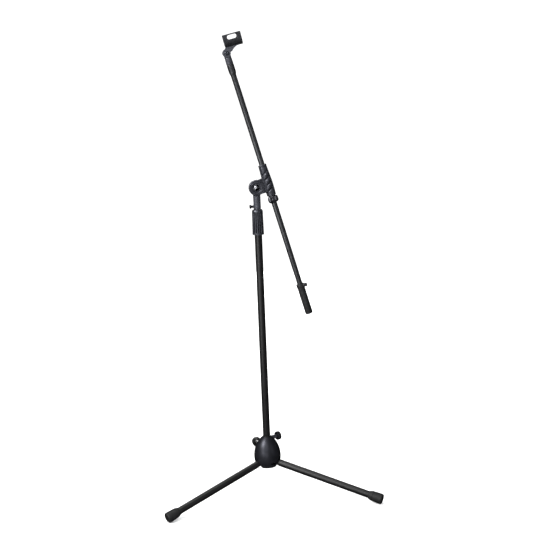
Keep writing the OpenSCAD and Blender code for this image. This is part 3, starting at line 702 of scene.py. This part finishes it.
def make_post():
    """The post that turns on the mast, with the rear ear of the tilt joint and a boss for its screw."""
    low, high = spans("holder_post", WORLD)
    pivot_z, boss_z = pivot.z / MM, joints["neck_knob_turn"]["pos_m"][2] / MM
    foot, thick = low.z, high.y
    top = pivot_z - DISC_R - POST_GAP
    stem = [(0, foot, 0), (POST_R, foot, 0.6), (POST_R, foot + 2.4, 0.3), (POST_R - 0.5, foot + 3, 0.3),
            (POST_R, foot + 3.6, 0.3), (POST_R, top, 0.8), (0, top, 0)]
    stem = lathe(outline(stem), sides=96)
    riser = prism(arc((0, 0), POST_R, 0, 180), top - 4, pivot_z)
    ear = [(0, 0, 0), (EAR_R, 0, 0.6), (EAR_R, thick - 2, 1.2), (EAR_R - 2.2, thick, 1.5),
           (DISH_R, thick, 0.5), (DISH_R - 0.7, thick - 0.8, 0.5), (0, thick - 0.8, 0)]
    ear = shifted(turned(lathe(outline(ear), sides=96), -90, "X"), z=pivot_z)
    boss = [(0, 6, 0), (4.2, 6, 0), (4.0, POST_R + 1, 0.4), (0, POST_R + 1, 0)]
    boss = shifted(turned(lathe(outline(boss), sides=48), -90, "Y"), z=boss_z)
    socket = prism(circle(POST_BORE, 96), foot - 1, top - 8)
    bolt_hole = shifted(turned(prism(circle(BOLT_HOLE, 48), -1, thick + 1), -90, "X"), z=pivot_z)
    post = combined(combined(stem, [riser, ear, boss], "UNION"), [socket, bolt_hole], "DIFFERENCE")
    piece("holder_post", softened(post, 0.5), WORLD, "holder", "grip_plastic", ["holder_post"],
          "pale_plastic")


def make_neck_knob():
    """The small knob that clamps the post to the mast, on its neck."""
    low, high = spans("neck_knob", AT_NECK_KNOB)
    head, neck_r = high.z - 4.6, 3.6
    knob = notched_knob(high.x, head, high.z, count=10, depth=0.8, bore=SMALL_SCREW_R, dish=0.5)
    neck = ring(neck_r, SMALL_SCREW_R, low.z, head + 0.3, fillet=0.3, sides=48)
    piece("neck_knob", joined([knob, neck]), AT_NECK_KNOB, "neck_clamp", "knob_plastic", ["neck_knob"])


# ---- Tilt joint and boom sleeve ----

DISC_BACK = 0.8  # in front of the pivot
DISC_WEB = 11.8  # likewise, the face of the disc's rim
RING_R = 17.5
RECESS_R = 12.3
RECESS_DEPTH = 4.5
RIBS = 4
RIB_PITCH = 16.5
RIB_MID = 8.75
RIB_DEPTH = 2.6
RIB_SWELL = 0.9  # depth of the soft hollow round each groove
RIB_LEAN = 27.5


def make_tilt_disc():
    """The front disc of the tilt joint: a stepped rim, a raised ring and the bolt's recess."""
    high = spans("boom_grip", AT_DISC)[1]
    face = high.z - 1.5
    corners = [
        (4, DISC_BACK, 0), (DISC_R, DISC_BACK, 0.6), (DISC_R, DISC_WEB - 1.4, 1.2),
        (DISC_R - 1.6, DISC_WEB, 0.9), (DISC_R - 2.9, DISC_WEB, 0.4), (DISC_R - 3.4, DISC_WEB - 0.7, 0.4),
        (RING_R + 0.5, DISC_WEB - 0.7, 0.5),
        (RING_R, face, 0.6), (RING_R - 1.8, face, 0.4), (RING_R - 2.2, face - 0.5, 0.3),
        (RECESS_R + 1.2, face - 0.5, 0.4), (RECESS_R, face - 1.0, 0.5),
        (RECESS_R, face - RECESS_DEPTH, 0.6), (4, face - RECESS_DEPTH, 0),
    ]
    disc = lathe(outline(corners, closed=True, bends=5), closed=True, sides=128)
    piece("tilt_disc", disc, AT_DISC, "boom_clamp", "grip_plastic", ["boom_grip"])


def make_tilt_bolt():
    """A domed bolt with a washer under its head."""
    low, high = spans("pivot_bolt", AT_DISC)
    head_tall, head_r, shank_r = 5, 7.6, 3.9
    seat, washer_r, dome_r = high.z - head_tall, head_r + 1.6, 1.35 * head_r
    corners = [(0, low.z, 0), (shank_r, low.z, 0.5), (shank_r, seat, 0), (washer_r, seat, 0.3),
               (washer_r, seat + 0.9, 0.3), (head_r, seat + 0.9, 0), (head_r, seat + 2.2, 0.6)]
    steps = 8
    for k in range(steps, -1, -1):
        angle = math.asin(0.72 * head_r / dome_r * k / steps)
        corners.append((dome_r * math.sin(angle), high.z - dome_r + dome_r * math.cos(angle), 0))
    bolt = lathe(outline(corners), sides=96)
    piece("pivot_bolt", bolt, AT_DISC, "boom_clamp", "chrome_bolt", ["pivot_bolt"])


def make_web():
    """The moulded bridge from the disc to the sleeve, with a sunk panel on its front."""
    low, high = spans("boom_collet", AT_DISC)
    boom_x = (low.x + high.x) / 2
    front = DISC_WEB - 0.6
    start, start_half, waist_half, end_half = 2, 20.5, 22, 26
    shape = [(start, -start_half), (boom_x - 9, -waist_half), (boom_x - 4, -end_half),
             (boom_x - 2, end_half), (boom_x - 9, waist_half), (start, start_half)]
    web = prism(shape, DISC_BACK, front)
    panel_start, panel_end, panel_depth = 19, boom_x - 12.5, 1.3
    panel = [(panel_start, -17), (panel_end, -18.5), (panel_end, 18.5), (panel_start, 17)]
    sunk = prism(panel, front - panel_depth, front + 2)
    opening = prism(circle(RECESS_R + 1.6, 64), -5, 30)
    web = softened(combined(web, [sunk, opening], "DIFFERENCE"), 0.9)
    piece("grip_web", web, AT_DISC, "boom_clamp", "grip_plastic", ["boom_grip"])


def make_sleeve():
    """The sleeve that grips the boom, with slanted grooves front and back and an end ring."""
    low, high = spans("boom_collet", AT_BOOM)
    bore, wall_r = high.x, 11
    corners = [
        (bore, low.z, 0.3), (13.2, low.z, 1.2), (13.3, low.z + 4, 0.5), (14.3, low.z * 0.3, 8),
        (14.3, high.z * 0.1, 8), (12.3, high.z * 0.75, 3), (12.1, high.z - 8, 0.5), (11.5, high.z - 7.2, 0.4),
        (11.5, high.z - 6.2, 0.4), (12.1, high.z - 5.4, 0.5), (11.9, high.z - 1, 0.9), (11.2, high.z, 0.9),
        (bore, high.z, 0.3),
    ]
    lean = math.radians(RIB_LEAN)

    def groove(angle, r, z):
        if r < wall_r:
            return r
        x, y = r * math.cos(angle), r * math.sin(angle)
        facing = smooth(0.52, 0.70, abs(y) / r)
        side = 1 if y > 0 else -1
        along = (z - RIB_MID) * math.cos(lean) + side * x * math.sin(lean)
        pitch = RIB_PITCH * math.cos(lean)
        wave = 0.5 - 0.5 * math.cos(math.tau * (along / pitch + RIBS / 2))
        inside = 1 - smooth(0.5 * RIBS - 0.1, 0.5 * RIBS + 0.1, abs(along) / pitch)
        return r - (RIB_DEPTH * wave**7 + RIB_SWELL * wave) * facing * inside

    sleeve = lathe(outline(corners, closed=True, step=0.7), closed=True, sides=144, shape=groove)
    piece("grip_sleeve", sleeve, AT_BOOM, "boom_clamp", "grip_plastic", ["boom_grip"])


def make_tilt_knob():
    """The star knob behind the tilt joint."""
    low, high = spans("tilt_knob", AT_TILT_KNOB)
    lobes, reach, waist, bore_r, dish_r = 5, 17.0, 13.2, 4.3, 7.5
    base, top = low.z, high.z
    corners = [
        (bore_r, base, 0), (9, base, 0.6), (9.4, base + 4, 0.8), (reach - 2, base + 4, 1),
        (reach, base + 6.5, 2), (reach, top - 3.5, 2.5), (reach - 3.5, top, 2.5), (dish_r + 1, top, 0.8),
        (dish_r, top - 0.9, 0.8), (0, top - 0.9, 0),
    ]

    def star(angle, r, _):
        outer = smooth(9.5, reach, r)
        return r - (reach - waist) * outer * (0.5 - 0.5 * math.cos(lobes * angle)) ** 1.4

    knob = lathe(outline(corners, step=1.6), sides=160, shape=star)
    bore = lathe([Vector((0, top - 2)), Vector((bore_r, top - 2)), Vector((bore_r, base))], sides=160)
    piece("tilt_knob", joined([knob, bore]), AT_TILT_KNOB, "tilt_clamp", "knob_plastic", ["tilt_knob"])


LOCK_LOBES = (215, 335, 95)  # their directions round the boom
LOBE_AT = 9.6
LOBE_R = 7.0
LOBE_HALF = 3.2  # half the length of a lobe's straight part


def make_lock_knob():
    """The three-lobed knob that locks the boom, smooth and glossy."""
    low, high = spans("boom_lock_knob", AT_BOOM)
    length = high.z - low.z
    core, bore = 11.8, 8.3
    wall_r = bore + 1

    def lobed(angle, r, z):
        if r < wall_r:
            return r
        reach = r
        ball = math.sqrt(max(0.0, LOBE_R**2 - max(0.0, abs(z - length / 2) - LOBE_HALF) ** 2))
        for lobe in LOCK_LOBES:
            off = angle - math.radians(lobe)
            side = LOBE_AT * math.sin(off)
            if abs(side) < ball and math.cos(off) > 0:
                far = LOBE_AT * math.cos(off) + math.sqrt(ball**2 - side**2)
                reach = max(reach, far)
        return reach

    corners = [
        (bore, 0, 0.3), (core - 3.6, 0, 1.5), (core - 1.2, 2.2, 2), (core, length * 0.4, 4),
        (core, length * 0.6, 4), (core - 1.2, length - 2, 2), (core - 2.6, length, 1.2),
        (bore, length, 0.3),
    ]
    knob = lathe(outline(corners, closed=True, step=0.6), closed=True, sides=180, shape=lobed)
    axes = {"use_axis_x": True, "use_axis_y": True, "use_axis_z": True}
    for _ in range(2):
        outer = [v for v in knob.verts if math.hypot(v.co.x, v.co.y) > wall_r]
        bmesh.ops.smooth_vert(knob, verts=outer, factor=0.5, **axes)
    piece("boom_lock_knob", shifted(knob, z=low.z), AT_BOOM, "boom_lock", "knob_plastic",
          ["boom_lock_knob"], "glossy_knob")


# ---- Boom ends and counterweight ----


def make_boom_tip():
    """The threaded end of the boom: a collar that swells from the tube, a shoulder ring and the stud."""
    low, high = spans("boom_tip", AT_BOOM)
    tube_r = spans("boom_tube", AT_BOOM)[1].x
    r, collar = high.x, high.z - 13
    turns, pitch, crest_r, root_r = 8, 1.4, 7.9, 7.2
    corners = [(0, low.z, 0), (tube_r + 0.25, low.z, 0.2), (tube_r + 0.45, low.z + 1, 0.5),
               (r, low.z + 7.5, 4), (r, collar - 4.2, 0.5), (r - 0.5, collar - 3.7, 0.3),
               (r, collar - 3.2, 0.4), (r, collar, 0.8), (crest_r, collar, 0)]
    for i in range(turns):
        z = collar + 1 + i * pitch
        corners += [(root_r, z, 0), (crest_r, z + pitch / 2, 0)]
    corners += [(root_r, high.z - 0.5, 0.3), (root_r - 0.5, high.z, 0.3), (0, high.z, 0)]
    tip = lathe(outline(corners), sides=96)
    # The tip takes the boom's lighter paint, with its painted sheen.
    piece("boom_tip", tip, AT_BOOM, "boom", "tube_paint", ["boom_tip"], "boom_paint_painted_sheen")


def make_counterweight():
    """The weight: a hammered cylinder with a turned collar and a boss for its screw."""
    low, high = spans("counterweight", AT_BOOM)
    bore = spans("boom_tube", AT_BOOM)[1].x + RUNNING_GAP
    base, collar, top = low.z, high.z - 11.8, high.z
    r, collar_r = 11.1, 11.9
    corners = [(bore, base + 0.8, 0.3), (bore + 0.8, base, 0.4), (r - 1.8, base, 1.0), (r, base + 1.8, 1.2),
               (r, collar - 1.2, 0.4), (r - 0.6, collar - 0.8, 0.3), (r - 0.6, collar, 0.2),
               (collar_r, collar, 0.6), (collar_r, top, 0.8), (bore + 0.7, top, 0.4), (bore, top - 0.7, 0.2)]
    body = lathe(outline(corners, closed=True, step=6), closed=True, sides=96)
    piece("counterweight", body, AT_BOOM, "weight", "tube_paint", ["counterweight"], "weight_paint")
    boss_r, boss_start, boss_end = 5.6, 10.4, 14
    boss = ring(boss_r, SMALL_SCREW_R + 0.1, boss_start, boss_end, fillet=0.5, sides=64)
    piece("weight_boss", boss, AT_WEIGHT_SCREW, "weight", "tube_paint", ["counterweight"], "weight_paint")


def make_weight_knob():
    """The small knob on the weight's screw."""
    low, high = spans("weight_knob", AT_WEIGHT_SCREW)
    knob = notched_knob(high.x, low.z, high.z, count=10, depth=0.8, bore=SMALL_SCREW_R, dish=0.5)
    piece("weight_knob", knob, AT_WEIGHT_SCREW, "weight_clamp", "knob_plastic", ["weight_knob"])


# ---- Clip ----

CLIP_PIVOT_Z = (Vector(joints["clip_tilt"]["pos_m"]) - boom_point).dot(boom_axis) / MM
CHEEK_IN = 5.7  # from the clip's middle to a cheek's inner face
CHEEK_T = 4.0
CHEEK_R = 11.5
CHEEK_END = 44.0  # how far from the pin the cheeks reach along the channel
CLIP_FLOOR = 13.6  # lowest point of the channel above the pin
CLIP_WALL = 2.2
CLIP_H = 36.0
CLIP_R = 15.8
CLIP_START = 1.0
CLIP_LEN = 50.5
SLOT_LEN = 29.5
SLOT_H = 12.0
SLOT_DROP = 9.4  # middle of the window below the channel's edge
SCOOP_X = 40.5
SCOOP_Z = -14.0
SCOOP_R = 28.0
LUG_HALF = 5.4
LUG_R = 10.5
BARREL_R = 10.3
BARREL_TOP_R = 9.5
INSERT_R = 9.0
INSERT_LEN = 14
CLIP_PIN_R = 2.5
THROUGH = 40  # longer than whatever it cuts through


def make_clip_base():
    """The clip's threaded base: a tapered barrel and the lug that the cheeks turn on."""
    base = spans("clip_base", AT_BOOM)[0].z
    shoulder, r = CLIP_PIVOT_Z - CHEEK_R - 1, BARREL_R
    barrel = [(0, base, 0), (r - 0.8, base, 0.5), (r, base + 1.2, 0.6), (r, base + 3.4, 0.3),
              (r - 0.5, base + 4, 0.3), (r - 0.1, base + 4.6, 0.3), (BARREL_TOP_R, shoulder, 1.5),
              (0, shoulder, 0)]
    barrel = lathe(outline(barrel), sides=96)
    lug = block((-BARREL_TOP_R, -LUG_HALF, shoulder - 1), (BARREL_TOP_R, LUG_HALF, CLIP_PIVOT_Z))
    eye = [(0, -LUG_HALF, 0), (LUG_R, -LUG_HALF, 0), (LUG_R, LUG_HALF, 0), (0, LUG_HALF, 0)]
    eye = shifted(turned(lathe(outline(eye), sides=96), 90, "X"), z=CLIP_PIVOT_Z)
    hole = shifted(turned(prism(circle(CLIP_PIN_R, 32), -20, 20), 90, "X"), z=CLIP_PIVOT_Z)
    insert = prism(circle(INSERT_R, 64), base - 1, base + INSERT_LEN)
    body = combined(combined(barrel, [lug, eye], "UNION"), [hole, insert], "DIFFERENCE")
    piece("clip_base", softened(body, 0.6), AT_BOOM, "clip_mount", "grip_plastic", ["clip_base"],
          "pale_plastic")


def make_clip():
    """The microphone clip: a channel with a long window in each wall, on two scooped cheeks."""
    axis_z, top, web_z = CLIP_FLOOR + CLIP_R + CLIP_WALL, CLIP_FLOOR + CLIP_H, CLIP_FLOOR + 2
    outer_r = CLIP_R + CLIP_WALL
    steps = 40
    outside = [(outer_r, top)] + arc((0, axis_z), outer_r, 0, -180, steps) + [(-outer_r, top)]
    inside = [(-CLIP_R, top)] + arc((0, axis_z), CLIP_R, -180, 0, steps) + [(CLIP_R, top)]
    channel = prism(outside + inside, CLIP_START, CLIP_START + CLIP_LEN)
    channel = turned(turned(channel, 90, "X"), 90, "Z")
    middle = (CLIP_START + CLIP_LEN / 2, top - SLOT_DROP)
    window = stadium(SLOT_H / 2, (SLOT_LEN - SLOT_H) / 2, 20, middle)
    window = turned(prism(window, -THROUGH, THROUGH), 90, "X")
    channel = softened(combined(channel, [window], "DIFFERENCE"), 0.7)
    piece("mic_clip", channel, AT_CLIP, "clip", "grip_plastic", ["mic_clip"], "clip_plastic")

    scoop = prism(circle(SCOOP_R, 96, (SCOOP_X, SCOOP_Z)), -THROUGH, THROUGH)
    shape = [(-CHEEK_R, 0), (CHEEK_R, 0), (CHEEK_END, web_z), (CLIP_START + 1, web_z)]
    cheeks = []
    for side in (-1, 1):
        near, far = sorted((side * CHEEK_IN, side * (CHEEK_IN + CHEEK_T)))
        eye = prism(circle(CHEEK_R, 96), near, far)
        cheek = combined(prism(shape, near, far), [eye], "UNION")
        cheeks.append(turned(combined(cheek, [scoop.copy()], "DIFFERENCE"), 90, "X"))
    scoop.free()
    hole = turned(prism(circle(CLIP_PIN_R + RUNNING_GAP, 32), -20, 20), 90, "X")
    bore = turned(turned(prism(circle(CLIP_R, 2 * steps, (0, axis_z)), -1, 60), 90, "X"), 90, "Z")
    cheeks = softened(combined(joined(cheeks), [bore, hole], "DIFFERENCE"), 0.7)
    piece("clip_cheeks", cheeks, AT_CLIP, "clip", "grip_plastic", ["mic_clip"], "pale_plastic")


def make_clip_screw():
    """The clip's pivot screw: a rounded head with a hexagon socket on a plain shank."""
    low, high = spans("clip_screw", AT_CLIP_FRONT)
    head, head_r, socket_r, socket_depth = high.z - 2.2, 6.2, 2.6, 1.4
    corners = [(0, low.z, 0), (CLIP_PIN_R, low.z, 0.4), (CLIP_PIN_R, head, 0), (head_r, head, 0.3),
               (head_r - 0.2, head + 1.4, 0.9), (4.4, high.z, 0.8), (0, high.z, 0)]
    socket = prism(circle(socket_r, 6), high.z - socket_depth, high.z + 1)
    screw = lathe(outline(corners, step=3), sides=72)
    screw = softened(combined(screw, [socket], "DIFFERENCE"), 0.25)
    piece("clip_screw", screw, AT_CLIP_FRONT, "clip_mount", "zinc_steel", ["clip_screw"], "dark_steel")


refinish_frame()
make_bell()
make_bushing()
make_hub_knob()
for leg in LEG_AZIMUTHS:
    make_foot(leg)
make_clutch_grip()
make_post()
make_neck_knob()
make_tilt_disc()
make_tilt_bolt()
make_web()
make_sleeve()
make_tilt_knob()
make_lock_knob()
make_boom_tip()
make_counterweight()
make_weight_knob()
make_clip_base()
make_clip()
make_clip_screw()


# ---- Floor, light and camera ----


FLOOR_REACH = 30.0
FLOOR_Z = -0.0002
WHITE = (1, 1, 1)
COOL = (0.95, 0.97, 1.0)
WARM = (1.0, 0.99, 0.985)
LIGHTS_AIM = Vector((0, 0, 0.7))


def make_floor():
    """A plain pale floor, left out of reflections."""
    mesh = bmesh.new()
    corners = ((-1, -1), (1, -1), (1, 1), (-1, 1))
    mesh.faces.new([mesh.verts.new((x * FLOOR_REACH, y * FLOOR_REACH, FLOOR_Z)) for x, y in corners])
    floor = as_object(mesh, "floor")
    pale = bpy.data.materials.new("floor_pale")
    pale.use_nodes = True
    shader = pale.node_tree.nodes["Principled BSDF"]
    shader.inputs["Base Color"].default_value = (0.93, 0.93, 0.93, 1)
    shader.inputs["Roughness"].default_value = 0.9
    shader.inputs["Specular IOR Level"].default_value = 0.1
    floor.data.materials.append(pale)
    floor.visible_glossy = False


def soft_light(name, azimuth, height, distance, size, power, colour=WHITE):
    """A softbox at an azimuth left of the front, facing a point half way up the stand."""
    light = bpy.data.lights.new(name, "AREA")
    light.shape = "RECTANGLE"
    light.size, light.size_y = size
    light.energy, light.color = power, colour
    obj = bpy.data.objects.new(name, light)
    bpy.context.scene.collection.objects.link(obj)
    angle = math.radians(azimuth)
    position = Vector((-math.sin(angle) * distance, -math.cos(angle) * distance, height))
    back = position - LIGHTS_AIM
    level = Vector((0, 0, 1)).cross(back)
    obj.matrix_world = place(position, back, level)
    obj.visible_camera = False


def make_light():
    """An even white surround, kept out of reflections, and softboxes all round: a strong one at the
    left, weak ones in front and at the right, one above and one behind for the rims."""
    world = bpy.data.worlds.new("surround")
    world.use_nodes = True
    background = world.node_tree.nodes["Background"]
    background.inputs["Color"].default_value = (1, 1, 1, 1)
    background.inputs["Strength"].default_value = 1.25
    bpy.context.scene.world = world
    world.cycles_visibility.glossy = False
    soft_light("front", azimuth=12, height=2.2, distance=2.7, size=(1.2, 1.5), power=21, colour=COOL)
    soft_light("low_front", azimuth=12, height=0.2, distance=2.9, size=(0.9, 1.0), power=8)
    soft_light("low_left", azimuth=42, height=0.36, distance=1.7, size=(0.7, 0.6), power=7)
    soft_light("key", azimuth=60, height=2.3, distance=2.4, size=(1.3, 1.3), power=118, colour=WARM)
    soft_light("fill", azimuth=-42, height=1.3, distance=3.0, size=(0.7, 1.8), power=4, colour=COOL)
    soft_light("top", azimuth=150, height=3.6, distance=0.5, size=(1.8, 1.8), power=42)
    soft_light("back", azimuth=180, height=1.1, distance=3.0, size=(0.8, 2.2), power=24)


def make_camera():
    """A camera a little left of the front, three metres away, tipped down and turned slightly."""
    position = Vector((-0.3022, -3.0058, 1.3276))
    forward = Vector((0.1118, 0.9704, -0.2140))
    right = Vector((0.9919, -0.1223, -0.0375))
    camera = bpy.data.cameras.new("camera")
    camera.sensor_width, camera.lens = 36.0, 69.22
    camera.clip_start, camera.clip_end = 0.05, 100
    obj = bpy.data.objects.new("camera", camera)
    bpy.context.scene.collection.objects.link(obj)
    obj.matrix_world = place(position, -forward, right)
    bpy.context.scene.camera = obj


make_floor()
make_light()
make_camera()
bpy.context.scene.view_settings.view_transform = "Standard"
